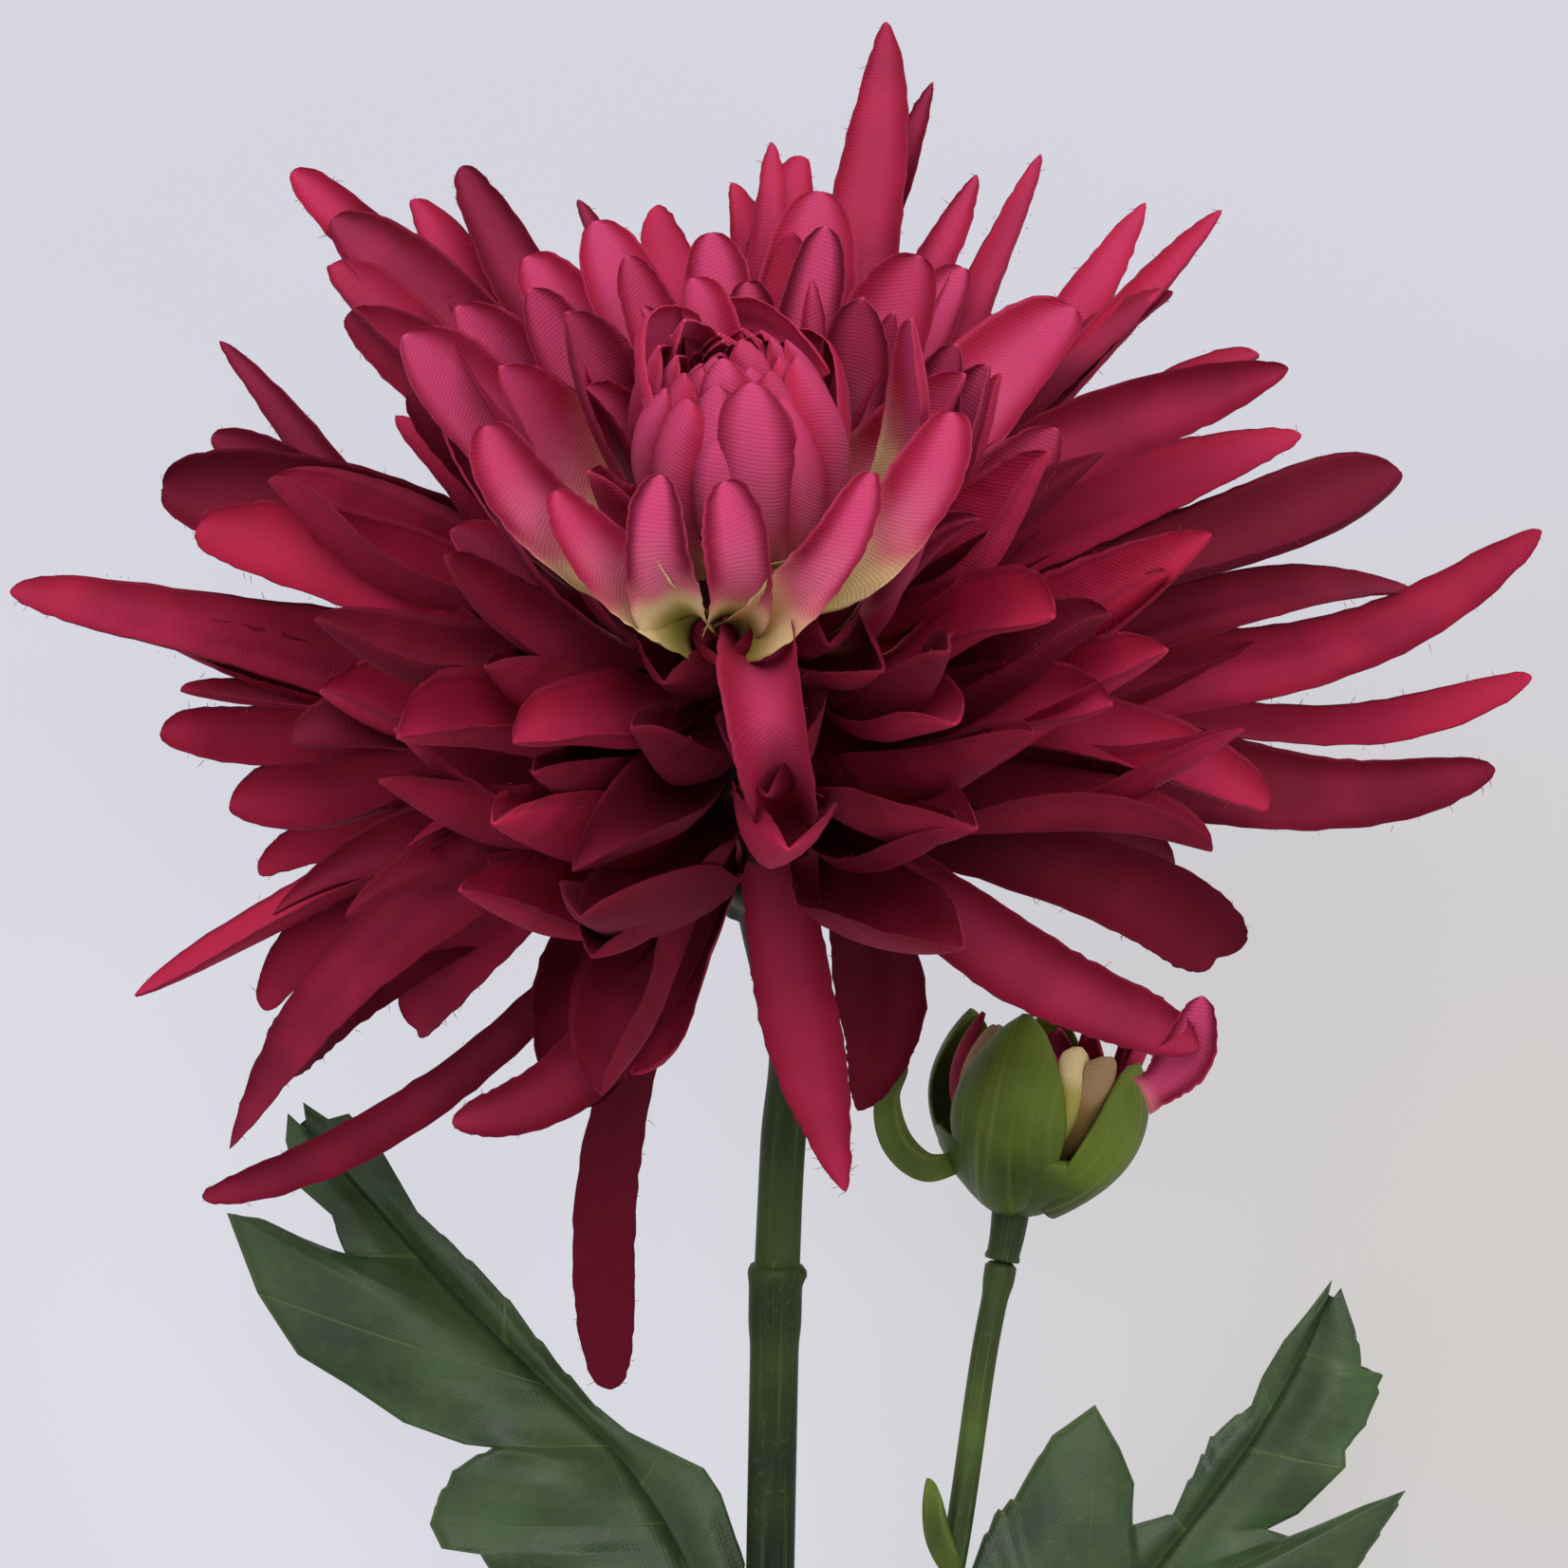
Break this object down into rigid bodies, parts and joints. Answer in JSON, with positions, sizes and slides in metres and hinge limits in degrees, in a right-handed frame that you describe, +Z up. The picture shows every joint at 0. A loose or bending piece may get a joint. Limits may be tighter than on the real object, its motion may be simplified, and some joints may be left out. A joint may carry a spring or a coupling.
{
  "type": "artificial chrysanthemum stem",
  "caption": "Artificial spider chrysanthemum: one large crimson fabric bloom and a side bud on a moulded green stem with two leaves, lying down.",
  "frame": {"origin": "on the table, under the middle of the whole flower's box", "axes": "+Y along the stem towards the bloom, +Z up from the table, +X to the side of the bud"},
  "size_m": [0.1308, 0.2831, 0.0733],
  "materials": {
    "petal_fabric": "matt ribbed crimson fabric, cream at the petal roots near the heart",
    "leaf_fabric": "waxed dark green fabric with faint yellow veins",
    "stem_plastic": "satin moulded green",
    "sepal_plastic": "satin moulded yellow green"
  },
  "bodies": {
    "root": {"bloom": "petal_fabric", "calyx": "stem_plastic", "head_stem": "stem_plastic", "stem": "stem_plastic", "bud_calyx": "sepal_plastic", "bud_petals": "petal_fabric", "leaf_left": "leaf_fabric", "leaf_right": "leaf_fabric"}
  },
  "joints": []
}
